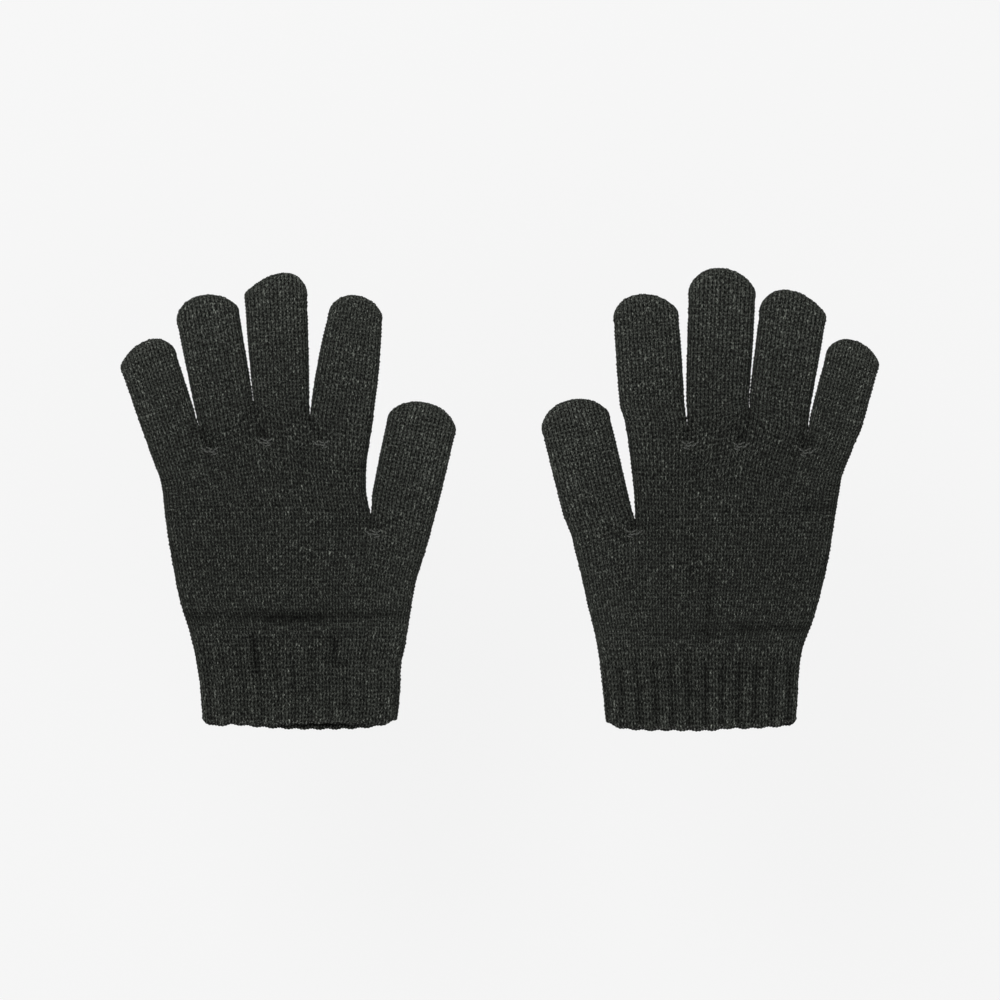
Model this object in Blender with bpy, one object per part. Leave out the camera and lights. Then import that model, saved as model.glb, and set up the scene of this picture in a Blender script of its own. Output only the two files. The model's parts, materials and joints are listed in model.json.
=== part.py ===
"""A pair of knitted gloves, lying palm down side by side.

Each glove is a hollow knitted shell in the sections that a glove machine knits: four fingers and a
thumb, the upper hand that joins the fingers, the lower hand that joins the thumb to it, and a ribbed
cuff with a hem and elastic threads. A finger is split where it bends. +X is to the right, +Y towards
the fingertips and +Z up, with the gloves on the plane z = 0. Lengths are in millimetres until MM.
"""

from dataclasses import dataclass
from math import cos, pi, radians, sin, sqrt, tan

import bmesh
import bpy
from mathutils import Vector

MM = 0.001

# Knitted fabric
WALL = 1.8
FIT_GAP = 0.3
HALF_JOINT_GAP = 0.25

# Heights of the pieces as they lie
HAND_HEIGHT = 12.0
FORK_HEIGHT = 10.2
FINGER_HEIGHT = 9.4
THUMB_HEIGHT = 10.2
DIGIT_LIFT = 0.2

# Fingers and thumb
CAP_LENGTH = 11.0
CAP_STEPS = 4
STUB_LENGTH = 16.0
THUMB_STUB_LENGTH = 10.0
STUB_TAPER = 3.0
ROOT_PINCH = 1.0
PINCH_LENGTH = 8.0
KNUCKLE_EXTENSION = radians(16)
WRIST_TURN = radians(60)

# Cuff
HEM_LENGTH = 3.0
HEM_WALL = 2.2
SCALLOP_DEPTH = 0.5
SCALLOP_PITCH = 7.3
ELASTIC_COUNT = 5
ELASTIC_RADIUS = 0.4

# Stitches that close the forks between the fingers
STITCH_RADIUS = 0.45
STITCH_LENGTH = 5.5
STITCH_RISE = 1.2

# Facets
ARC_STEPS = 5
HEM_FLAT_STEPS = 24
ELASTIC_FLAT_STEPS = 4

YARN = (0.024, 0.026, 0.023, 1.0)
YARN_RIB = (0.022, 0.024, 0.021, 1.0)
YARN_STITCH = (0.07, 0.075, 0.068, 1.0)
RUBBER = (0.03, 0.03, 0.03, 1.0)


@dataclass(frozen=True)
class Section:
    """One cross-section of a hand or cuff: its place along Y, its two edges in X and its height."""

    y: float
    left: float
    right: float
    height: float = HAND_HEIGHT


@dataclass(frozen=True)
class Digit:
    """A finger or thumb: its root on the joint line, lean to the right, lengths and widths."""

    name: str
    root: tuple[float, float]
    lean: float
    length: float
    root_width: float
    tip_width: float
    base_share: float = 0.5
    height: float = FINGER_HEIGHT


@dataclass(frozen=True)
class Glove:
    """One glove's own outline. Sections run from the wrist or hem towards the fingertips."""

    side: str
    fingers: tuple[Digit, ...]
    thumb: Digit
    upper_hand: tuple[Section, ...]
    lower_hand: tuple[Section, ...]
    cuff: tuple[Section, ...]
    hem_end: float
    forks: tuple[tuple[str, float, float, float], ...]


LEFT = Glove(
    side="left",
    fingers=(
        Digit("little", (-151.8, 43.0), -18.3, 30.1, 25.2, 25.6),
        Digit("ring", (-124.4, 43.0), -10.3, 50.1, 26.6, 27.8),
        Digit("middle", (-98.5, 43.0), -2.9, 59.3, 24.8, 27.8),
        Digit("index", (-70.9, 43.0), 8.2, 49.8, 28.2, 25.4),
    ),
    thumb=Digit("thumb", (-43.3, -8.0), 12.5, 53.0, 29.4, 31.0, 0.52, THUMB_HEIGHT),
    upper_hand=(
        Section(-8.7, -150.4, -59.5),
        Section(8.0, -152.7, -60.3),
        Section(20.0, -156.6, -59.6, 11.4),
        Section(30.0, -160.0, -58.6, FORK_HEIGHT),
    ),
    lower_hand=(
        Section(-59.9, -139.6, -41.2),
        Section(-45.0, -144.0, -39.7),
        Section(-30.0, -147.2, -35.8),
        Section(-18.0, -149.3, -32.6),
        Section(-9.3, -150.4, -59.5),
    ),
    cuff=(
        Section(-99.8, -134.0, -46.9),
        Section(-86.0, -135.0, -45.2),
        Section(-74.0, -136.9, -44.6),
        Section(-59.9, -139.6, -41.2),
    ),
    hem_end=-103.2,
    forks=(
        ("little_ring", -130.5, 22.1, -35.0),
        ("ring_middle", -106.2, 26.1, -15.0),
        ("middle_index", -80.6, 25.2, 20.0),
        ("thumb", -57.2, -14.9, 40.0),
    ),
)

RIGHT = Glove(
    side="right",
    fingers=(
        Digit("index", (69.1, 40.5), -4.1, 51.9, 28.6, 29.4),
        Digit("middle", (97.8, 40.5), 2.4, 63.9, 27.6, 30.2),
        Digit("ring", (125.6, 40.5), 8.3, 54.2, 27.2, 30.2),
        Digit("little", (152.5, 40.5), 14.8, 32.6, 23.6, 24.2),
    ),
    thumb=Digit("thumb", (45.2, -11.3), -13.7, 57.9, 31.0, 31.0, 0.52, THUMB_HEIGHT),
    upper_hand=(
        Section(-11.7, 61.0, 150.0),
        Section(3.6, 60.3, 152.6),
        Section(16.0, 59.2, 156.0, 11.4),
        Section(27.5, 57.8, 160.0, FORK_HEIGHT),
    ),
    lower_hand=(
        Section(-65.7, 44.0, 136.1),
        Section(-50.0, 40.7, 142.0),
        Section(-36.0, 36.8, 145.8),
        Section(-21.0, 33.6, 148.8),
        Section(-12.3, 61.0, 150.0),
    ),
    cuff=(
        Section(-100.9, 48.0, 133.3),
        Section(-88.0, 46.8, 134.2),
        Section(-76.0, 45.4, 135.0),
        Section(-65.7, 44.0, 136.1),
    ),
    hem_end=-104.3,
    forks=(
        ("index_middle", 85.5, 24.8, -15.0),
        ("middle_ring", 108.5, 24.3, 10.0),
        ("ring_little", 138.2, 21.6, 35.0),
        ("thumb", 60.3, -14.9, -40.0),
    ),
)


def stadium(half_width, half_height, flat_steps=1):
    """Points (x, z) round a flattened tube: two straight sides joined by half circles."""
    straight = half_width - half_height
    arc = [pi * i / ARC_STEPS - pi / 2 for i in range(ARC_STEPS + 1)]
    right = [(straight + half_height * cos(a), half_height * sin(a)) for a in arc]
    left = [(-x, -z) for x, z in right]
    flat = [straight - 2 * straight * i / flat_steps for i in range(1, flat_steps)]
    top = [(x, half_height) for x in flat]
    bottom = [(-x, -half_height) for x in flat]
    return right + top + left + bottom


def no_offset(x, z):
    """Keeps a ring in its plane."""
    return 0.0


def ring(y, centre_x, width, bottom, height, offset=no_offset, flat_steps=1):
    """One loft ring: a flattened tube's outline across Y, pushed along Y by offset(x, z)."""
    middle = bottom + height / 2
    outline = stadium(width / 2, height / 2, flat_steps)
    return [(centre_x + x, y + offset(x, z + middle), z + middle) for x, z in outline]


def loft(name, rings, collection, closed=False):
    """A solid through rings of equal counts. A closed one joins its last ring to its first."""
    bm = bmesh.new()
    loops = [[bm.verts.new(Vector(p) * MM) for p in points] for points in rings]
    pairs = list(zip(loops, loops[1:]))
    if closed:
        pairs.append((loops[-1], loops[0]))
    else:
        bm.faces.new(loops[0])
        bm.faces.new(loops[-1])
    for first, second in pairs:
        for i in range(len(first)):
            j = (i + 1) % len(first)
            bm.faces.new((first[i], first[j], second[j], second[i]))
    bmesh.ops.recalc_face_normals(bm, faces=bm.faces)
    mesh = bpy.data.meshes.new(name)
    bm.to_mesh(mesh)
    bm.free()
    obj = bpy.data.objects.new(name, mesh)
    collection.objects.link(obj)
    return obj


def yarn_material(name, color, roughness):
    """A Principled material of one plain colour."""
    material = bpy.data.materials.new(name)
    material.use_nodes = True
    shader = material.node_tree.nodes["Principled BSDF"]
    shader.inputs["Base Color"].default_value = color
    shader.inputs["Roughness"].default_value = roughness
    shader.inputs["Metallic"].default_value = 0.0
    return material


def dress(obj, color=YARN, roughness=0.95):
    """Gives a piece its own material and smooth shading."""
    obj.data.materials.append(yarn_material(obj.name, color, roughness))
    if obj.type == "MESH":
        obj.data.shade_smooth()
        obj.data.set_sharp_from_angle(angle=radians(50))


def hang(obj, parent, location=(0.0, 0.0, 0.0), turn=0.0):
    """Puts a piece under its parent, at a place in millimetres and a turn about +Z."""
    obj.parent = parent
    obj.location = Vector(location) * MM
    obj.rotation_euler = (0.0, 0.0, turn)


def boolean(obj, operand, operation):
    """Adds an exact Boolean with a hidden operand."""
    modifier = obj.modifiers.new(operation.lower(), "BOOLEAN")
    modifier.object = operand
    modifier.operation = operation
    modifier.solver = "EXACT"
    operand.hide_render = True
    operand.display_type = "WIRE"


def section_at(sections, y):
    """The section at y, between the two listed ones next to it."""
    for low, high in zip(sections, sections[1:]):
        if y <= high.y:
            break
    share = (y - low.y) / (high.y - low.y)
    edges = ((low.left, high.left), (low.right, high.right), (low.height, high.height))
    return Section(y, *(a + share * (b - a) for a, b in edges))


def section_rings(sections, inset=0.0, first=no_offset, reach=(0.0, 0.0)):
    """Rings through a hand's or cuff's sections, inset evenly, with its two ends moved by reach."""
    rings = []
    for i, s in enumerate(sections):
        end = reach[0] if i == 0 else reach[1] if s is sections[-1] else 0.0
        width = s.right - s.left - 2 * inset
        centre = (s.left + s.right) / 2
        offset = first if i == 0 else no_offset
        rings.append(ring(s.y + end, centre, width, inset, s.height - 2 * inset, offset))
    return rings


def wrist_slant(direction):
    """The wedge that lets the cuff turn both ways about the middle of the wrist's height."""
    slope = direction * tan(WRIST_TURN / 2)
    return lambda x, z: direction * HALF_JOINT_GAP + slope * abs(z - HAND_HEIGHT / 2)


def digit_ring(digit, y, shear, inset=0.0, trim=0.0, size=1.0, offset=no_offset):
    """A finger's ring at y from its root, sheared to its lean. size shrinks it inside the cap."""
    share = min(max(y / digit.length, 0.0), 1.0)
    width = digit.root_width + share * (digit.tip_width - digit.root_width)
    width = width * sqrt(1 + shear * shear) - trim
    half = (width / 2 - inset) * size
    height = (digit.height - 2 * inset) * min(1.0, 0.35 + 0.65 * size)
    bottom = DIGIT_LIFT + inset
    return ring(y, shear * y, 2 * half, bottom, min(height, 2 * half), offset)


def cap_rings(digit, shear, origin, inset=0.0):
    """The rounded end of a finger, as quarter-ellipse steps up to its tip."""
    rings = []
    start = digit.length - CAP_LENGTH
    reach = CAP_LENGTH - inset
    for i in range(CAP_STEPS + 1):
        angle = 0.5 * pi * (i / CAP_STEPS) * 0.9
        at = start + reach * sin(angle) / sin(0.45 * pi)
        points = digit_ring(digit, at, shear, inset, size=cos(angle))
        rings.append([(x - shear * origin, y - origin, z) for x, y, z in points])
    return rings


class Hand:
    """Builds one glove's nodes."""

    def __init__(self, glove, collection, cutters):
        self.glove = glove
        self.collection = collection
        self.cutters = cutters
        self.root = bpy.data.objects.new(f"{glove.side}_glove", None)
        collection.objects.link(self.root)

    def node(self, name):
        return f"{self.glove.side}_{name}"

    def shear(self, digit):
        """How far a finger leans per millimetre. The thumb is turned instead."""
        return 0.0 if digit is self.glove.thumb else tan(radians(digit.lean))

    def place(self, obj, digit, parent=None):
        """Puts a piece at a digit's root, and turns the thumb to its lean."""
        turn = radians(-digit.lean) if digit is self.glove.thumb else 0.0
        hang(obj, parent or self.root, (*digit.root, 0.0), turn)

    def stub(self, digit, length, inset, reach, collection):
        """The short start of a digit that belongs to the hand, as a solid to add or cut."""
        shear = self.shear(digit)
        steps = ((-length, STUB_TAPER), (-length / 2, STUB_TAPER / 3), (reach, 0.0))
        rings = [digit_ring(digit, y, shear, inset, trim) for y, trim in steps]
        kind = "hollow" if inset else "form"
        obj = loft(self.node(f"{digit.name}_stub_{kind}"), rings, collection)
        self.place(obj, digit)
        return obj

    def hollow_hand(self, name, sections, slant, digits, stub_length):
        """A hand section: a lofted form with the digits' stubs, less the hollow inside it all."""
        body = loft(self.node(name), section_rings(sections, first=slant), self.collection)
        reach = (-3.0, 1.5) if len(digits) == 1 else (-1.5, -WALL)
        inner_rings = section_rings(sections, WALL, slant, reach)
        hollow = loft(self.node(f"{name}_hollow"), inner_rings, self.cutters)
        for digit in digits:
            form = self.stub(digit, stub_length, 0.0, -HALF_JOINT_GAP, self.cutters)
            boolean(body, form, "UNION")
            inner = self.stub(digit, stub_length + WALL, WALL, 1.0, self.cutters)
            boolean(hollow, inner, "UNION")
        boolean(body, hollow, "DIFFERENCE")
        hollow.parent = self.root
        body.parent = self.root
        dress(body)

    def digit_base(self, digit):
        """The tube from a digit's root joint to its middle joint, slanted to bend back a little."""
        shear = self.shear(digit)
        middle = digit.length * digit.base_share
        slope = tan(KNUCKLE_EXTENSION)

        def slant(x, z):
            return HALF_JOINT_GAP + slope * z

        def tube(inset):
            start = digit_ring(digit, 0.0, shear, inset, ROOT_PINCH, offset=slant)
            full = digit_ring(digit, PINCH_LENGTH, shear, inset)
            end = digit_ring(digit, middle - HALF_JOINT_GAP, shear, inset)
            return [start, full, end]

        rings = tube(0.0) + tube(WALL)[::-1]
        obj = loft(self.node(f"{digit.name}_base"), rings, self.collection, closed=True)
        self.place(obj, digit)
        dress(obj)
        return obj

    def digit_tip(self, digit, base):
        """The closed end of a digit, from its middle joint to the rounded cap."""
        shear = self.shear(digit)
        middle = digit.length * digit.base_share

        def wall(inset):
            points = digit_ring(digit, middle + HALF_JOINT_GAP, shear, inset)
            mouth = [(x - shear * middle, y - middle, z) for x, y, z in points]
            return [mouth] + cap_rings(digit, shear, middle, inset)

        rings = wall(0.0)[::-1] + wall(WALL)
        obj = loft(self.node(f"{digit.name}_tip"), rings, self.collection)
        hang(obj, base, (shear * middle, middle, 0.0))
        dress(obj)

    def cuff_rib(self):
        """The ribbed tube of the cuff, open at the hem and at the wrist."""
        sections = self.glove.cuff[::-1]
        outer = section_rings(sections, first=wrist_slant(-1))
        inner = section_rings(sections, WALL, first=wrist_slant(-1))
        obj = loft(self.node("cuff_rib"), outer + inner[::-1], self.collection, closed=True)
        obj.parent = self.root
        dress(obj, YARN_RIB)

    def cuff_hem(self):
        """The overcast edge of the cuff, with the shallow scallops that its ribs pull into it."""
        first = self.glove.cuff[0]
        centre = (first.left + first.right) / 2
        width = first.right - first.left
        top = first.y - FIT_GAP

        def scallop(x, z):
            return SCALLOP_DEPTH * (0.5 + 0.5 * cos(2 * pi * x / SCALLOP_PITCH))

        def hoop(y, inset, offset=no_offset):
            height = first.height - 2 * inset
            return ring(y, centre, width - 2 * inset, inset, height, offset, HEM_FLAT_STEPS)

        end = self.glove.hem_end
        rings = [hoop(top, 0.0), hoop(end, 0.0, scallop)]
        rings += [hoop(end, HEM_WALL, scallop), hoop(top, HEM_WALL)]
        obj = loft(self.node("cuff_hem"), rings, self.collection, closed=True)
        obj.parent = self.root
        dress(obj, YARN_RIB)

    def wire(self, name, points, radius, cyclic, color):
        """A round thread through points, as a bevelled curve."""
        curve = bpy.data.curves.new(self.node(name), "CURVE")
        curve.dimensions = "3D"
        curve.bevel_depth = radius * MM
        curve.bevel_resolution = 1
        curve.use_fill_caps = not cyclic
        spline = curve.splines.new("POLY")
        spline.points.add(len(points) - 1)
        spline.use_cyclic_u = cyclic
        for point, place in zip(spline.points, points):
            point.co = (*(Vector(place) * MM), 1.0)
        obj = bpy.data.objects.new(self.node(name), curve)
        self.collection.objects.link(obj)
        obj.parent = self.root
        dress(obj, color, 0.7)

    def elastic_threads(self):
        """Elastic threads laid round the inside of the cuff, evenly up its length."""
        low, high = self.glove.cuff[0].y, self.glove.cuff[-1].y
        inset = WALL + FIT_GAP + ELASTIC_RADIUS
        for i in range(ELASTIC_COUNT):
            y = low + (high - low) * (i + 0.6) / (ELASTIC_COUNT + 0.4)
            s = section_at(self.glove.cuff, y)
            width = s.right - s.left - 2 * inset
            centre = (s.left + s.right) / 2
            height = s.height - 2 * inset
            points = ring(y, centre, width, inset, height, flat_steps=ELASTIC_FLAT_STEPS)
            self.wire(f"elastic_thread_{i + 1}", points, ELASTIC_RADIUS, True, RUBBER)

    def fork_stitches(self):
        """The short closing stitches on the back of the hand, one below each fork."""
        for name, x, y, slope in self.glove.forks:
            on_thumb = name == "thumb"
            sections = self.glove.lower_hand if on_thumb else self.glove.upper_hand
            z = section_at(sections, y).height + FIT_GAP + STITCH_RADIUS
            along = Vector((cos(radians(slope)), sin(radians(slope)), 0.0)) * STITCH_LENGTH / 2
            across = Vector((-along.y, along.x, 0.0)).normalized() * STITCH_RISE
            middle = Vector((x, y, z))
            points = (middle - along, middle + across * 0.5, middle + along)
            self.wire(f"fork_stitch_{name}", points, STITCH_RADIUS, False, YARN_STITCH)

    def build(self):
        """Makes every node of the glove."""
        glove = self.glove
        upper, lower = glove.upper_hand, glove.lower_hand
        self.hollow_hand("upper_hand", upper, no_offset, glove.fingers, STUB_LENGTH)
        thumb = (glove.thumb,)
        self.hollow_hand("lower_hand", lower, wrist_slant(1), thumb, THUMB_STUB_LENGTH)
        for digit in glove.fingers + thumb:
            self.digit_tip(digit, self.digit_base(digit))
        self.cuff_rib()
        self.cuff_hem()
        self.elastic_threads()
        self.fork_stitches()


def main():
    for obj in list(bpy.data.objects):
        bpy.data.objects.remove(obj)
    collection = bpy.data.collections.new("knitted_gloves")
    cutters = bpy.data.collections.new("cutters")
    for each in (collection, cutters):
        bpy.context.scene.collection.children.link(each)
    for glove in (LEFT, RIGHT):
        Hand(glove, collection, cutters).build()


main()
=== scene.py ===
"""The finished look of a pair of fine-gauge knitted gloves, laid palm down side by side.

Every section of a glove is a closed tube of plain knitting: a grid of wales (columns of stitches, round the
tube) by courses (rows, along it). The tube's shape is worked out first, in millimetres, and the yarn's relief
is then raised on it, stitch by stitch. Both gloves are worked out as a left glove, with its thumb towards +X,
and the right one is mirrored at the end.
"""

import json
import logging
from dataclasses import dataclass
from enum import Enum
from math import cos, hypot, pi, radians, sin

import bpy
import numpy as np
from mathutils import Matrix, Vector

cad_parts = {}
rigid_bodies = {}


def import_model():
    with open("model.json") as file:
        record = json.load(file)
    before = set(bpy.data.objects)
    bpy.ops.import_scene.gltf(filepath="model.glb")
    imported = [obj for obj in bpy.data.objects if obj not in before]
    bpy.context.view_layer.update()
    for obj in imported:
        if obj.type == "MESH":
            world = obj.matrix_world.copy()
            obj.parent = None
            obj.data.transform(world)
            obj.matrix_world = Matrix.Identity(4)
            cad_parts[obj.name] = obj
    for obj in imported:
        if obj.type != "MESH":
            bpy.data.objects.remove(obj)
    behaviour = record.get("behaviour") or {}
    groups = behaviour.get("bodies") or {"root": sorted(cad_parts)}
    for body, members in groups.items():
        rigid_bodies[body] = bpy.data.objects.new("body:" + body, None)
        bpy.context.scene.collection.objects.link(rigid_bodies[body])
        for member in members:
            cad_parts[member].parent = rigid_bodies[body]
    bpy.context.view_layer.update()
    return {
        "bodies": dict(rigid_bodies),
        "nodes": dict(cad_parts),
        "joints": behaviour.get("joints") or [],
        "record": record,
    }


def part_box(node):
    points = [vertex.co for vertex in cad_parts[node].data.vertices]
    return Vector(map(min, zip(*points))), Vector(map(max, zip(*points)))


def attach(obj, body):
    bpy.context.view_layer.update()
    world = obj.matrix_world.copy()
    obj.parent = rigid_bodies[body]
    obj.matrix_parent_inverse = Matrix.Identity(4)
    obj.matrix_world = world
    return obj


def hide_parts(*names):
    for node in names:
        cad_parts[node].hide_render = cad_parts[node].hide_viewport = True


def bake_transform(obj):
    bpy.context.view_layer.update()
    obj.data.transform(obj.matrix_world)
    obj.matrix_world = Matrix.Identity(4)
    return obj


LOG = logging.getLogger("gloves")

# A millimetre in metres, the grid steps to a stitch either way, and the wales to a rib.
MM = 0.001
FINE = 4
RIB_WALES = 5

# Where the stitch numbers of some sections start, so that no two sections have the same flecks.
UPPER_COURSE = 40.0
CUFF_COURSE = 90.0
INSIDE_COURSE = 130.0
FINGER_WALE = 200.0
FINGER_WALES = 50.0
THUMB_WALE = 500.0

Curve = tuple[tuple[float, float], ...]
Socket = bpy.types.NodeSocket


class Side(Enum):
    """Which hand a glove is for. The value is the prefix of its pieces' names."""

    LEFT = "left"
    RIGHT = "right"

    @property
    def sign(self) -> float:
        """The factor that turns the worked-out left glove into this one."""
        return 1.0 if self is Side.LEFT else -1.0


# ---------------------------------------------------------------- shapes in numbers


def smooth(t: np.ndarray) -> np.ndarray:
    """The smoothstep 3t² − 2t³ of t held between 0 and 1."""
    t = np.clip(t, 0.0, 1.0)
    return t * t * (3.0 - 2.0 * t)


def through(points: Curve, at: np.ndarray) -> np.ndarray:
    """A smooth curve through points: cubic Hermite spans with the mean slope of their two neighbours.

    Args:
        points: (place, value) pairs, with rising places.
        at: the places to read, which are held to the ends of the last spans.

    Returns:
        The curve's values, in the shape of at.
    """
    place, value = np.array(points, float).T
    chord = np.diff(value) / np.diff(place)
    slope = np.concatenate([chord[:1], (chord[1:] + chord[:-1]) / 2, chord[-1:]])
    k = np.clip(np.searchsorted(place, at) - 1, 0, len(place) - 2)
    span = place[k + 1] - place[k]
    t = np.clip((at - place[k]) / span, 0.0, 1.0)
    rise = value[k + 1] * (3 - 2 * t) * t**2 + value[k] * (1 + 2 * t) * (1 - t) ** 2
    return rise + span * (slope[k] * t * (1 - t) ** 2 - slope[k + 1] * t**2 * (1 - t))


def flat_ring(
    share: np.ndarray, half_width: np.ndarray, half_height: np.ndarray, edge: float
) -> tuple[np.ndarray, np.ndarray]:
    """Points round a flattened tube, from the middle of its left edge up over the top.

    The outline is two straight runs joined by half ellipses that reach edge sideways. Equal steps of
    share are equal lengths of the girth.

    Args:
        share: place round the girth, from 0 to 1.
        half_width: half the tube's width.
        half_height: half its height.
        edge: how far each rounded edge reaches sideways.

    Returns:
        Sideways and upward offsets from the tube's centre.
    """
    quarter = pi / 2 * np.sqrt((edge**2 + half_height**2) / 2)
    run = 2 * (half_width - edge)
    half_girth = run + 2 * quarter
    around = (share % 1.0) * 2 * half_girth
    over = np.where(around <= half_girth, around, 2 * half_girth - around)
    above = np.where(around <= half_girth, 1.0, -1.0)
    left = np.clip(over / quarter, 0, 1) * pi / 2
    right = np.clip((over - quarter - run) / quarter, 0, 1) * pi / 2
    along = np.clip(over - quarter, 0, run) - run / 2
    aside = along - edge * np.cos(left) + edge * np.sin(right)
    return aside, above * half_height * np.sin(left) * np.cos(right)


def rumple(x: np.ndarray, y: np.ndarray) -> np.ndarray:
    """Slow swells of the lying fabric, from −1 to 1: the mean of four crossed sines, 21 to 45 mm long."""
    waves = ((0.16, 0.10, 0.3), (-0.09, 0.21, 1.9), (0.27, -0.13, 4.1), (0.05, 0.13, 2.6))
    return sum(np.sin(a * x + b * y + c) for a, b, c in waves) / len(waves)


def unit(vectors: np.ndarray) -> np.ndarray:
    """Each of some (n, 3) vectors, brought to length 1."""
    return vectors / np.linalg.norm(vectors, axis=1, keepdims=True)


@dataclass
class Tube:
    """A tube of grid points (row, column, xyz) in millimetres, whose columns close on themselves.

    first is the stitch coordinate of its corner and step the stitch coordinates from one point to the next.
    tone lightens or darkens the yarn and carries painted shade: in creases, dimples, rib gutters and inside
    the cuff. height, from 0 to 1, is low in a strand's grooves, which its finish darkens as painted shade. A
    shut end is folded flat and sewn to itself, and a loop's rows close.
    """

    places: np.ndarray
    first: tuple[float, float] = (0.0, 0.0)
    step: tuple[float, float] = (1 / FINE, 1 / FINE)
    tone_and_shade: np.ndarray | float = 1.0
    height: np.ndarray | float = 1.0
    shut_start: bool = False
    shut_end: bool = False
    loop: bool = False

    def raised(self) -> tuple[np.ndarray, np.ndarray, np.ndarray]:
        """The finished points, the yarn's height from 0 to 1 and its tone."""
        shape = self.places.shape[:2]
        return self.places, np.broadcast_to(self.height, shape), np.broadcast_to(self.tone_and_shade, shape)

    def arrays(self) -> tuple[np.ndarray, np.ndarray, np.ndarray, np.ndarray]:
        """The tube as mesh arrays.

        Returns:
            (n, 3) points, (m, 4) point numbers, (m, 4, 2) stitch coordinates, (n, 2) height and tone.
        """
        points, height, tone_and_shade = self.raised()
        rows, columns = points.shape[:2]
        index = np.arange(rows * columns).reshape(rows, columns)
        mirror = -np.arange(columns) % columns
        for row, shut in ((0, self.shut_start), (-1, self.shut_end)):
            if shut:
                points[row] = (points[row] + points[row, mirror]) / 2
                index[row] = np.where(np.arange(columns) > columns // 2, index[row, mirror], index[row])
        right = np.roll(index, -1, axis=1)
        above, above_right = np.roll(index, -1, axis=0), np.roll(right, -1, axis=0)
        quads = np.stack([index, right, above_right, above], axis=-1)
        u = self.first[0] + self.step[0] * np.arange(columns)[None, :] + 0.0 * np.arange(rows)[:, None]
        v = self.first[1] + self.step[1] * np.arange(rows)[:, None] + 0 * u
        du, dv = self.step
        corners = [(u, v), (u + du, v), (u + du, v + dv), (u, v + dv)]
        uv = np.stack([np.stack(c, axis=-1) for c in corners], axis=2)
        if not self.loop:
            quads, uv = quads[:-1], uv[:-1]
        shades = np.stack([height, tone_and_shade], axis=-1)
        return points.reshape(-1, 3), quads.reshape(-1, 4), uv.reshape(-1, 4, 2), shades.reshape(-1, 2)


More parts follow.
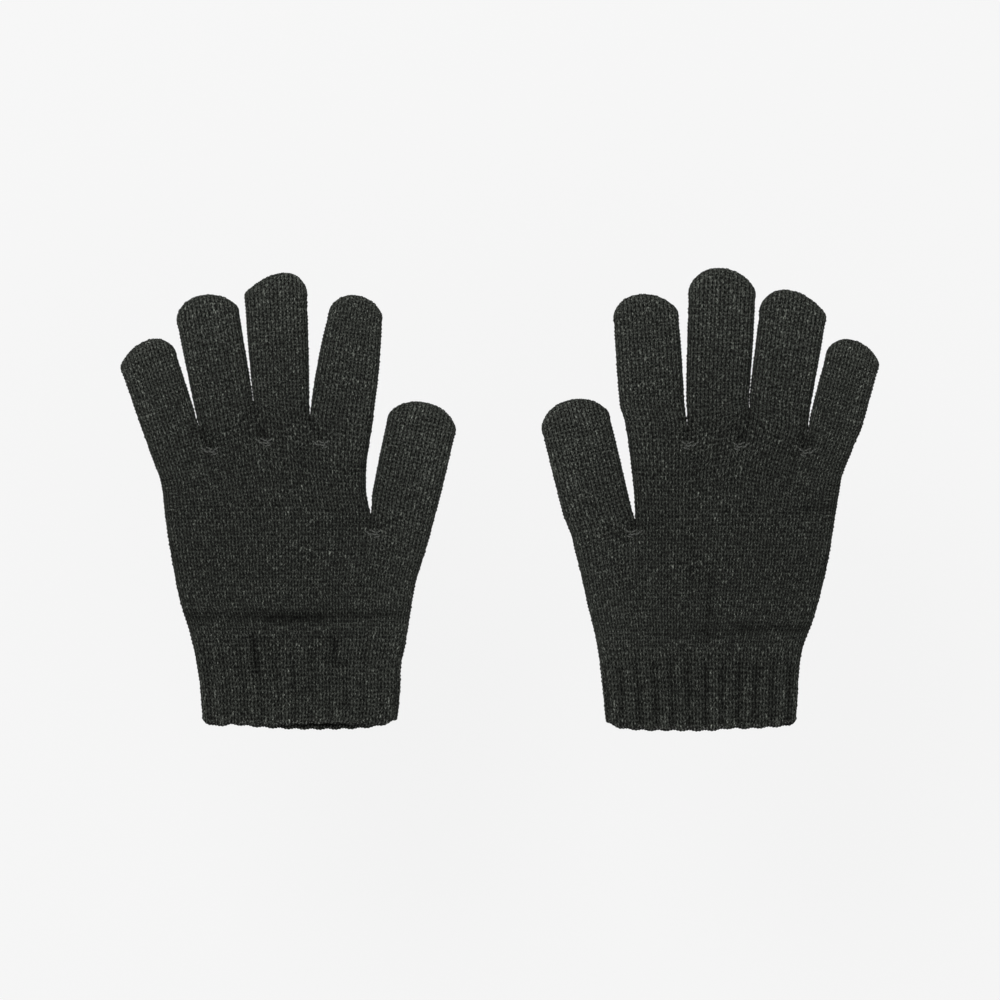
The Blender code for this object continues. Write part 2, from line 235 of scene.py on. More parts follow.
@dataclass
class KnitTube(Tube):
    """A tube of knitting: FINE grid columns to a wale and FINE rows to a course.

    rib is how strongly the fabric is gathered into ribs at each point. yarn_depth and rib_depth are the
    heights of the relief, uneven is how far stitches stand out differently, and yarn_lean is the legs' lean
    in wales. A stitch of full_stitch millimetres, across and along, has the full relief, and a smaller less.
    """

    rib: np.ndarray | float = 0.0
    yarn_depth: float = 0.6
    yarn_lean: float = 0.12
    uneven: float = 0.8
    rib_depth: float = 0.9
    full_stitch: tuple[float, float] = (1.45, 1.5)

    def directions(self) -> tuple[np.ndarray, np.ndarray, np.ndarray]:
        """The fabric's directions at each grid point.

        Returns:
            The step across one wale, the step along one course and the outward normal, each as
            (row, column, xyz).
        """
        p = self.places
        across = (np.roll(p, -1, axis=1) - np.roll(p, 1, axis=1)) * (FINE / 2)
        along = np.gradient(p, axis=0) * FINE
        normal = np.cross(across, along)
        normal /= np.linalg.norm(normal, axis=2, keepdims=True) + 1e-9
        return across, along, normal

    def relief(self, wale: np.ndarray, course: np.ndarray) -> tuple[np.ndarray, np.ndarray]:
        """How the yarn stands up on the tube.

        With a the place across the wale and b the place along the course, two legs lean towards each other
        and pass under the next course: their ridge is sin²(2πa) and their swell along the yarn is
        (1 − cos 2πb')/2 with b' = b − 0.8(|a − ½| − ¼). Between neighbouring wales the fabric opens into
        one hole a stitch, e^−((d/0.21)² + (e/0.27)²) with d the distance to the wale's edge and e the
        distance to b = 0.2.

        Args:
            wale: wale numbers.
            course: course numbers.

        Returns:
            Height from 0 to 1, and the sideways lean in wales.
        """
        a, b = wale % 1.0, course % 1.0
        swell = 0.5 - 0.5 * np.cos(2 * pi * (b - 0.8 * (np.abs(a - 0.5) - 0.25)))
        ridge = np.sin(2 * pi * a) ** 2
        beside, beyond = 0.5 - np.abs(a - 0.5), np.abs((b + 0.3) % 1.0 - 0.5)
        hole = np.exp(-((beside / 0.21) ** 2) - ((beyond / 0.27) ** 2))
        height = (0.62 + ridge * (0.08 + 0.3 * swell)) * (1 - 0.9 * hole)
        return height, -self.yarn_lean * np.sin(2 * pi * a) * np.cos(pi * b)

    def unevenness(self, wale: np.ndarray, course: np.ndarray) -> np.ndarray:
        """How far each stitch stands out more or less than its neighbours.

        A stitch's own amount, from −0.55 to 0.45, is the fraction of 43758.5 sin(12.99 w + 78.23 c) of its
        wale and course numbers. It is multiplied by sin(πa) · sin²(πb), so that it is 0 where stitches meet.

        Args:
            wale: wale numbers.
            course: course numbers.

        Returns:
            The share of uneven at each grid point.
        """
        w, c = np.floor(wale + 1e-6), np.floor(course + 1e-6)
        amount = (43758.5 * np.sin(12.99 * w + 78.23 * c)) % 1.0 - 0.55
        return amount * np.sin(pi * (wale - w)) * np.sin(pi * (course - c)) ** 2

    def raised(self) -> tuple[np.ndarray, np.ndarray, np.ndarray]:
        """The tube with its yarn: each point moved along its normal, and across by the legs' lean.

        The ribs' gutters are (½ + ½ cos 2πw/5)² deep at wale w.

        Returns:
            The points, a height of 1 (the finish works out the holes itself), and the yarn's lightness with
            painted shade in the rib gutters.
        """
        rows, columns = self.places.shape[:2]
        wale = np.arange(columns)[None, :] / FINE
        course = self.first[1] + np.arange(rows)[:, None] / FINE
        across, along, normal = self.directions()
        height, lean = self.relief(wale, course)
        wide, long = self.full_stitch
        size = np.minimum(np.linalg.norm(across, axis=2) / wide, np.linalg.norm(along, axis=2) / long)
        gutter = self.rib * (0.5 + 0.5 * np.cos(2 * pi * wale / RIB_WALES)) ** 2
        lift = self.yarn_depth * np.clip(size, 0.15, 1.1) * (height - 0.7)
        lift = lift - self.rib_depth * (gutter - 0.2 * self.rib)
        lift = lift + self.uneven * np.clip(size, 0.0, 1.1) * self.unevenness(wale, course)
        points = self.places + normal * lift[..., None] + across * lean[..., None]
        # Painted shade: the rib gutters are darkened by up to 0.45.
        return points, np.ones_like(height), self.tone_and_shade * (1 - 0.45 * gutter) + 0 * height


def rope(
    path: np.ndarray, first: np.ndarray, second: np.ndarray, radius: np.ndarray, loop: bool, pitch: float
) -> Tube:
    """A round strand along a path: each ring is path + r (cos φ · first + sin φ · second).

    Args:
        path: (n, 3) centre line.
        first: (n, 3) unit vectors across it.
        second: (n, 3) unit vectors across both.
        radius: (n, m) radii at each ring's m places.
        loop: whether it closes on itself. Otherwise both its ends are shut.
        pitch: rows to a stitch coordinate of 1.

    Returns:
        The strand, with a height that is low in its grooves, where its radius is small, for the painted shade
        that its finish puts there.
    """
    sides = radius.shape[1]
    turn = 2 * pi * np.arange(sides) / sides
    ring = np.cos(turn)[None, :, None] * first[:, None] + np.sin(turn)[None, :, None] * second[:, None]
    low, high = radius.min(), radius.max()
    height = np.clip((radius - low) / (high - low + 1e-6), 0, 1) if loop else 1.0
    return Tube(
        path[:, None] + radius[..., None] * ring,
        step=(2 / sides, 1 / pitch),
        height=height,
        shut_start=not loop,
        shut_end=not loop,
        loop=loop,
    )


def piece(name: str, side: Side, material: bpy.types.Material, *tubes: Tube) -> bpy.types.Object:
    """Joins tubes into one smooth mesh at the origin, mirrored for a right glove.

    Args:
        name: the piece's name.
        side: the hand.
        material: the finish.
        tubes: the tubes to join.

    Returns:
        The new object, linked to the scene.
    """
    parts = [tube.arrays() for tube in tubes]
    offsets = np.cumsum([0] + [len(part[0]) for part in parts[:-1]])
    points = np.concatenate([part[0] for part in parts]) * (side.sign * MM, MM, MM)
    quads = np.concatenate([part[1] + offset for part, offset in zip(parts, offsets)])
    uv = np.concatenate([part[2] for part in parts])
    shades = np.concatenate([part[3] for part in parts])
    if side is Side.RIGHT:
        quads, uv = quads[:, ::-1], uv[:, ::-1]
    mesh = bpy.data.meshes.new(name)
    mesh.vertices.add(len(points))
    mesh.vertices.foreach_set("co", points.astype(np.float32).ravel())
    mesh.loops.add(quads.size)
    mesh.loops.foreach_set("vertex_index", quads.astype(np.int32).ravel())
    mesh.polygons.add(len(quads))
    mesh.polygons.foreach_set("loop_start", np.arange(0, quads.size, 4, dtype=np.int32))
    mesh.update(calc_edges=True)
    mesh.uv_layers.new(name="stitches").data.foreach_set("uv", uv.astype(np.float32).ravel())
    # The second attribute holds the yarn's lightness with painted shade in creases, dimples, rib gutters and
    # inside the cuff; the first is low in a strand's grooves, which its finish shades.
    for k, attribute in enumerate(("yarn", "tone_and_shade")):
        values = shades[:, k].astype(np.float32)
        mesh.attributes.new(attribute, "FLOAT", "POINT").data.foreach_set("value", values)
    mesh.validate()
    mesh.shade_smooth()
    mesh.materials.append(material)
    obj = bpy.data.objects.new(name, mesh)
    bpy.context.scene.collection.objects.link(obj)
    return obj


# ---------------------------------------------------------------- finishes


class Graph:
    """A short way to write a material's nodes."""

    def __init__(self, name: str) -> None:
        """Starts a material with one Principled shader."""
        self.material = bpy.data.materials.new(name)
        self.material.use_nodes = True
        self.tree = self.material.node_tree
        self.shader = self.tree.nodes["Principled BSDF"]

    def node(self, kind: str, **inputs: object) -> bpy.types.Node:
        """Adds a node.

        Args:
            kind: its Blender type.
            inputs: values or sockets for its inputs. An underscore in a name stands for a space.

        Returns:
            The node.
        """
        node = self.tree.nodes.new(kind)
        for name, value in inputs.items():
            self.feed(node.inputs[name.replace("_", " ")], value)
        return node

    def feed(self, socket: Socket, value: object) -> None:
        """Links a socket to another, or sets its value.

        Args:
            socket: the input.
            value: an output socket, a number or a colour.
        """
        if isinstance(value, bpy.types.NodeSocket):
            self.tree.links.new(value, socket)
        else:
            socket.default_value = value

    def math(self, operation: str, *values: object) -> Socket:
        """Adds one Math node.

        Args:
            operation: what it works out.
            values: up to three numbers or sockets.

        Returns:
            Its result.
        """
        node = self.tree.nodes.new("ShaderNodeMath")
        node.operation = operation
        for socket, value in zip(node.inputs, values):
            self.feed(socket, value)
        return node.outputs[0]

    def swing(self, value: Socket, size: float) -> Socket:
        """A value from 0 to 1 as a swing of the given size either side of 0, half of it each way."""
        return self.math("MULTIPLY", self.math("SUBTRACT", value, 0.5), size)

    def without(self, value: Socket, depth: float) -> Socket:
        """1 − depth · value."""
        return self.math("SUBTRACT", 1.0, self.math("MULTIPLY", value, depth))

    def vector(self, x: object, y: object, z: object = 0.0) -> Socket:
        """Three numbers as a vector."""
        return self.node("ShaderNodeCombineXYZ", X=x, Y=y, Z=z).outputs[0]

    def ease(self, value: Socket, low: float, high: float, at: float = 0.0, to: float = 1.0) -> Socket:
        """Maps a range smoothly to another.

        Args:
            value: what to map.
            low: where it starts.
            high: where it ends.
            at: the result at low and below.
            to: the result at high and above.

        Returns:
            The result.
        """
        node = self.tree.nodes.new("ShaderNodeMapRange")
        node.interpolation_type = "SMOOTHSTEP"
        names = ("Value", "From Min", "From Max", "To Min", "To Max")
        for name, number in zip(names, (value, low, high, at, to)):
            self.feed(node.inputs[name], number)
        return node.outputs[0]

    def mix(self, share: object, first: object, second: object) -> Socket:
        """A colour between two.

        Args:
            share: how much of the second there is.
            first: a colour.
            second: another.

        Returns:
            The blend.
        """
        node = self.tree.nodes.new("ShaderNodeMix")
        node.data_type = "RGBA"
        for place, value in ((0, share), (6, first), (7, second)):
            self.feed(node.inputs[place], value)
        return node.outputs[2]


@dataclass(frozen=True)
class HeatherYarn:
    """Melange yarn: dark wool with paler fibres, in which single stitch legs come out lighter.

    knitted says whether it lies in stitches or runs as a single strand. contrast is the swing of the streaks
    along a leg, and the fibres swing fibre_share times as much. The pitches are how often each noise comes by
    in a wale and in a course. lean is how far along the yarn a leg's inner side runs ahead. hole is the size,
    in wales and courses, of the painted shade in the gap that opens once a stitch, and hole_depth is how dark
    it is. gutter and middle are the width and darkness of the painted shade along the line between wales and
    along that between a stitch's two legs.
    """

    name: str
    colour: tuple[float, float, float] = (0.0210, 0.0225, 0.0198)
    contrast: float = 6.0
    seed: float = 1.0
    knitted: bool = True
    fibre_share: float = 1.6
    cloud_swing: float = 0.6
    leg_swing: float = 0.5
    pale_legs: float = 0.6
    brightest: float = 14.0
    streak_pitch: tuple[float, float] = (4.2, 1.1)
    fibre_pitch: tuple[float, float] = (13.0, 2.2)
    cloud_pitch: tuple[float, float] = (0.42, 0.3)
    wander_pitch: tuple[float, float] = (0.6, 0.6)
    wander: float = 0.5
    lean: float = 1.1
    hole: tuple[float, float] = (0.33, 0.31)
    hole_depth: float = 0.99
    gutter: tuple[float, float] = (0.17, 0.5)
    middle: tuple[float, float] = (0.1, 0.15)

    def material(self) -> bpy.types.Material:
        """Builds the finish from stitch coordinates.

        The yarn's brightness is colour · shade · e^power, and the power is the sum of the swings: streaks and
        fibres, which are noise drawn out along the leaning legs, slow clouds, a random step from leg to leg
        and one leg in ten that is paler.

        Returns:
            The material.
        """
        g = Graph(self.name)
        uv = g.node("ShaderNodeUVMap")
        uv.uv_map = "stitches"
        axes = g.node("ShaderNodeSeparateXYZ", Vector=uv.outputs[0])
        u, v = axes.outputs[0], axes.outputs[1]
        v = g.math("ADD", v, g.swing(self.noise(g, u, v, self.wander_pitch, 1.0, 0.5), self.wander))
        off_middle = g.math("ABSOLUTE", g.math("SUBTRACT", g.math("FRACT", u), 0.5))
        along = g.math("SUBTRACT", v, g.math("MULTIPLY", g.math("SUBTRACT", off_middle, 0.25), self.lean))
        leg = g.vector(g.math("FLOOR", g.math("MULTIPLY", u, 2.0)), g.math("FLOOR", along), self.seed)
        chance = g.node("ShaderNodeTexWhiteNoise", Vector=leg).outputs[0]
        fibre = self.noise(g, u, along, self.fibre_pitch, 2.0, 0.6)
        swings = (
            g.swing(self.noise(g, u, along, self.streak_pitch, 1.5, 0.6), self.contrast),
            g.swing(fibre, self.contrast * self.fibre_share),
            g.swing(self.noise(g, u, v, self.cloud_pitch, 1.0, 0.5), self.cloud_swing),
            g.swing(chance, self.leg_swing),
            g.ease(chance, 0.9, 0.99, 0.0, self.pale_legs),
        )
        power = swings[0]
        for swing in swings[1:]:
            power = g.math("ADD", power, swing)
        light = g.math("MULTIPLY", g.math("EXPONENT", power), self.shade(g, v, off_middle, along))
        light = g.math("MINIMUM", light, self.brightest)
        channels = [g.math("MULTIPLY", light, part) for part in self.colour]
        colour = g.node("ShaderNodeCombineColor", Red=channels[0], Green=channels[1], Blue=channels[2])
        g.feed(g.shader.inputs["Base Color"], colour.outputs[0])
        bump = g.node("ShaderNodeBump", Height=fibre)
        bump.inputs["Strength"].default_value = 0.6
        bump.inputs["Distance"].default_value = 0.12 * MM
        g.feed(g.shader.inputs["Normal"], bump.outputs[0])
        g.shader.inputs["Roughness"].default_value = 0.92
        g.shader.inputs["Specular IOR Level"].default_value = 0.02
        g.shader.inputs["Sheen Weight"].default_value = 0.012
        g.shader.inputs["Sheen Roughness"].default_value = 0.5
        g.shader.inputs["Sheen Tint"].default_value = (0.8, 0.82, 0.8, 1.0)
        return g.material

    def shade(self, g: Graph, v: Socket, off_middle: Socket, along: Socket) -> Socket:
        """The painted shade on the yarn: its lightness, times the dark holes or the strand's own grooves.

        A stitch has painted shade in one hole at its wale's edge, as in the relief, along a thin line between
        its two legs and at its leg ends.

        Args:
            g: the material's graph.
            v: courses.
            off_middle: distance from the wale's middle.
            along: courses along the leaning leg.

        Returns:
            The factor on the colour.
        """
        tone_and_shade = g.node("ShaderNodeAttribute")
        tone_and_shade.attribute_name = "tone_and_shade"
        if not self.knitted:
            yarn = g.node("ShaderNodeAttribute")
            yarn.attribute_name = "yarn"
            # Painted shade in a strand's grooves, from its height.
            return g.math("MULTIPLY", tone_and_shade.outputs["Fac"], g.ease(yarn.outputs["Fac"], 0.05, 0.8, 0.15, 1.0))
        beside = g.math("SUBTRACT", 0.5, off_middle)
        course = g.math("ABSOLUTE", g.math("SUBTRACT", g.math("FRACT", g.math("ADD", v, 0.3)), 0.5))
        away = g.math("ADD", self.square(g, beside, self.hole[0]), self.square(g, course, self.hole[1]))
        end = g.math("ABSOLUTE", g.math("SUBTRACT", g.math("FRACT", along), 0.5))
        # Painted shade: the hole, the line between wales, the line between the legs and the leg ends.
        factors = (
            g.without(self.bell(g, away), self.hole_depth),
            g.without(self.bell(g, self.square(g, beside, self.gutter[0])), self.gutter[1]),
            g.without(self.bell(g, self.square(g, off_middle, self.middle[0])), self.middle[1]),
            g.ease(end, 0.5, 0.15, 0.65, 1.0),
        )
        light = tone_and_shade.outputs["Fac"]
        for factor in factors:
            light = g.math("MULTIPLY", light, factor)
        return light

    def square(self, g: Graph, distance: Socket, width: float) -> Socket:
        """The square of a distance over a width."""
        share = g.math("DIVIDE", distance, width)
        return g.math("MULTIPLY", share, share)

    def bell(self, g: Graph, square: Socket) -> Socket:
        """e to the power of minus a square."""
        return g.math("EXPONENT", g.math("MULTIPLY", square, -1.0))

    def noise(
        self, g: Graph, u: Socket, v: Socket, pitch: tuple[float, float], detail: float, roughness: float
    ) -> Socket:
        """Smooth noise over stitch coordinates and the yarn's own seed.

        Args:
            g: the material's graph.
            u: wales.
            v: courses.
            pitch: how often it comes by in a wale and in a course.
            detail: how many finer layers it has.
            roughness: how strong they are.

        Returns:
            The noise, from 0 to 1.
        """
        place = g.vector(g.math("MULTIPLY", u, pitch[0]), g.math("MULTIPLY", v, pitch[1]), self.seed)
        noise = g.node("ShaderNodeTexNoise", Vector=place, Scale=1.0, Detail=detail, Roughness=roughness)
        return noise.outputs[0]


@dataclass(frozen=True)
class ElasticFinish:
    """Covered rubber thread: near black, wrapped, with a faint shine."""

    name: str = "covered_elastic"
    colour: tuple[float, float, float, float] = (0.02, 0.02, 0.021, 1.0)
    worn: tuple[float, float, float, float] = (0.045, 0.045, 0.047, 1.0)

    def material(self) -> bpy.types.Material:
        """Builds a dark thread whose wrapping shows as fine rings of bump.

        Returns:
            The material.
        """
        g = Graph(self.name)
        uv = g.node("ShaderNodeUVMap")
        uv.uv_map = "stitches"
        wraps = g.node("ShaderNodeTexWave", Vector=uv.outputs[0], Scale=1.2, Distortion=0.4)
        g.feed(g.shader.inputs["Base Color"], g.mix(wraps.outputs[1], self.colour, self.worn))
        bump = g.node("ShaderNodeBump", Height=wraps.outputs[1])
        bump.inputs["Distance"].default_value = 0.1 * MM
        g.feed(g.shader.inputs["Normal"], bump.outputs[0])
        g.shader.inputs["Roughness"].default_value = 0.6
        return g.material


# ---------------------------------------------------------------- the gloves


@dataclass(frozen=True)
class DigitShape:
    """A finger's or the thumb's own shape, in millimetres.

    Widths are taken at its root, half way and at its cap. sway moves it to its right, skew moves the
    crest of its cap to the right as a share of half its width, and reach is added to its length.
    """

    name: str
    widths: tuple[float, float, float]
    cap: float
    sway: float = 0.0
    skew: float = 0.0
    reach: float = 0.0
    half_height: float = 3.9
    wales: int = 38


@dataclass(frozen=True)
class Crease:
    """A crease pressed into the upper layer, from one point to another, in millimetres."""

    start: tuple[float, float]
    end: tuple[float, float]
    depth: float
    width: float

    def valley(self, x: np.ndarray, y: np.ndarray) -> np.ndarray:
        """Its depth at each place: depth · e^−(d/width)², with d the distance to the line between its ends.

        Args:
            x: places along X.
            y: places along Y.

        Returns:
            The depths.
        """
        dx, dy = self.end[0] - self.start[0], self.end[1] - self.start[1]
        t = ((x - self.start[0]) * dx + (y - self.start[1]) * dy) / (dx * dx + dy * dy)
        t = np.clip(t, 0, 1)
        away = np.hypot(x - self.start[0] - t * dx, y - self.start[1] - t * dy)
        return self.depth * np.exp(-((away / self.width) ** 2))


@dataclass(frozen=True)
class GloveShape:
    """One glove's outline, in millimetres, as on a left glove.

    Side edges are (y, x) pairs, the hem is (x, y) pairs and forks are (x, y). mouth is where along X the
    upper layer's hem rides up, and by how much. ribbing is how strongly the cuff is gathered into ribs.
    """

    side: Side
    fingers: tuple[DigitShape, ...]
    thumb: DigitShape
    outer_edge: Curve
    thumb_edge: Curve
    index_edge: Curve
    hem: Curve
    forks: Curve
    thumb_fork: tuple[float, float]
    thumb_root: tuple[float, float]
    little_root: tuple[float, float]
    index_root: tuple[float, float]
    mouth: tuple[float, float]
    ribbing: float
    fork_names: tuple[str, ...]
    creases: tuple[Crease, ...]


LEFT_SHAPE = GloveShape(
    side=Side.LEFT,
    fingers=(
        DigitShape("little", (25.2, 25.6, 25.9), 9.2, sway=0.3, skew=0.2, reach=0.1),
        DigitShape("ring", (26.6, 27.7, 28.4), 10.0, sway=0.4, skew=-0.08, reach=0.4),
        DigitShape("middle", (24.8, 27.2, 28.2), 9.9, sway=0.3, skew=0.3),
        DigitShape("index", (28.2, 28.2, 24.2), 9.3, sway=0.3, skew=-0.06),
    ),
    thumb=DigitShape(
        "thumb", (29.4, 31.0, 31.2), 10.3, sway=-1.15, reach=1.1, half_height=4.2, wales=40
    ),
    outer_edge=(
        (-104.0, -133.6), (-92.0, -134.6), (-81.5, -135.5), (-70.7, -137.3), (-59.9, -139.5), (-45.5, -144.0),
        (-30.0, -147.1), (-9.5, -150.4), (8.6, -152.7), (15.8, -155.3), (26.6, -159.3), (43.2, -165.0),
    ),
    thumb_edge=(
        (-104.0, -46.5), (-86.0, -44.6), (-74.3, -44.2), (-63.5, -41.9), (-50.0, -39.8), (-38.3, -37.8),
        (-23.9, -33.4), (-9.5, -29.5), (8.6, -25.7),
    ),
    index_edge=((-9.0, -59.0), (5.0, -59.8), (15.8, -59.7), (26.6, -58.1), (33.8, -57.0), (43.0, -56.2)),
    hem=(
        (-134.7, -99.2), (-132.9, -100.9), (-122.0, -101.2), (-112.0, -102.2), (-103.0, -102.8),
        (-91.0, -103.3), (-73.0, -103.3), (-60.0, -102.8), (-53.0, -101.9), (-49.0, -100.9),
        (-46.0, -99.0),
    ),
    forks=((-135.0, 32.4), (-110.3, 41.4), (-85.5, 37.4)),
    thumb_fork=(-58.1, -6.8),
    thumb_root=(-29.4, -13.2),
    little_root=(-160.4, 24.0),
    index_root=(-57.4, 33.3),
    mouth=(-80.0, 3.0),
    ribbing=0.6,
    fork_names=("little_ring", "ring_middle", "middle_index", "thumb"),
    creases=(
        Crease((-110.6, -61.0), (-109.0, -77.0), 0.9, 1.1),
        Crease((-74.4, -60.0), (-73.4, -74.0), 1.0, 1.2),
        Crease((-109.0, -62.4), (-76.0, -61.6), 0.4, 0.8),
        Crease((-103.0, -53.8), (-81.0, -53.4), 0.5, 2.4),
        Crease((-143.0, -53.4), (-44.0, -51.8), 0.5, 2.3),
        Crease((-134.6, 31.0), (-131.5, 26.0), 1.0, 1.3),
        Crease((-109.8, 40.0), (-107.6, 29.0), 0.9, 1.2),
        Crease((-85.2, 36.0), (-82.5, 28.5), 0.9, 1.2),
        Crease((-58.3, -8.5), (-58.8, -14.0), 0.6, 1.3),
    ),
)

RIGHT_SHAPE = GloveShape(
    side=Side.RIGHT,
    fingers=(
        DigitShape("little", (23.6, 24.4, 24.4), 9.0, sway=0.1, skew=0.16, reach=0.0),
        DigitShape("ring", (27.2, 29.1, 30.2), 10.6, sway=0.35, skew=0.22, reach=0.3),
        DigitShape("middle", (27.6, 29.6, 30.2), 11.6, sway=0.25, skew=0.08, reach=0.1),
        DigitShape("index", (28.6, 29.8, 29.2), 10.2, sway=0.55, skew=0.12, reach=0.8),
    ),
    thumb=DigitShape(
        "thumb", (30.4, 31.2, 31.2), 11.0, skew=0.04, reach=1.6, half_height=4.2, wales=40
    ),
    outer_edge=(
        (-105.0, -133.0), (-90.5, -134.1), (-75.6, -135.0), (-65.7, -136.5), (-54.0, -140.9), (-39.6, -144.9),
        (-25.2, -148.0), (-7.2, -150.8), (3.6, -152.6), (10.8, -153.9), (18.0, -156.6), (28.8, -161.1),
        (43.2, -165.6),
    ),
    thumb_edge=(
        (-105.0, -47.8), (-90.0, -46.4), (-75.6, -44.9), (-61.2, -42.5), (-46.8, -39.0), (-32.4, -35.7),
        (-18.0, -32.2), (-3.6, -28.6), (7.2, -25.0),
    ),
    index_edge=((-11.0, -60.8), (3.6, -59.8), (18.0, -58.3), (28.8, -56.8), (43.2, -54.3)),
    hem=(
        (-134.6, -99.4), (-132.8, -101.2), (-130.0, -101.8), (-124.6, -102.2), (-114.0, -103.0),
        (-104.0, -103.1), (-97.0, -103.9), (-73.0, -103.9), (-65.0, -103.8), (-57.6, -103.3),
        (-52.0, -102.7), (-49.0, -101.6), (-46.9, -100.0),
    ),
    forks=((-137.7, 28.4), (-112.1, 38.7), (-84.2, 32.4)),
    thumb_fork=(-60.8, -9.5),
    thumb_root=(-30.6, -16.6),
    little_root=(-161.6, 22.2),
    index_root=(-55.8, 34.4),
    mouth=(-92.0, 0.6),
    ribbing=1.0,
    fork_names=("ring_little", "middle_ring", "index_middle", "thumb"),
    creases=(
        Crease((-86.5, -12.0), (-86.0, -38.0), 0.35, 2.2),
        Crease((-94.5, -34.0), (-93.0, -63.0), 0.4, 2.2),
        Crease((-136.0, -58.6), (-108.0, -58.0), 0.5, 1.8),
        Crease((-112.0, -60.5), (-70.0, -61.0), 0.3, 1.6),
        Crease((-149.0, -3.8), (-134.0, -3.4), 0.5, 1.8),
        Crease((-137.4, 27.0), (-135.0, 22.0), 1.0, 1.3),
        Crease((-111.8, 37.5), (-109.5, 29.0), 1.0, 1.3),
        Crease((-84.0, 31.0), (-83.0, 25.0), 0.7, 1.2),
        Crease((-60.8, -11.0), (-61.0, -16.0), 0.5, 1.3),
    ),
)


@dataclass
class Axis:
    """A digit's centre line in its glove's left-hand coordinates: root, direction, bend and length."""

    root: np.ndarray
    along: np.ndarray
    bend: float
    length: float

    @property
    def across(self) -> np.ndarray:
        """The unit vector to the digit's right."""
        return np.array([self.along[1], -self.along[0]])


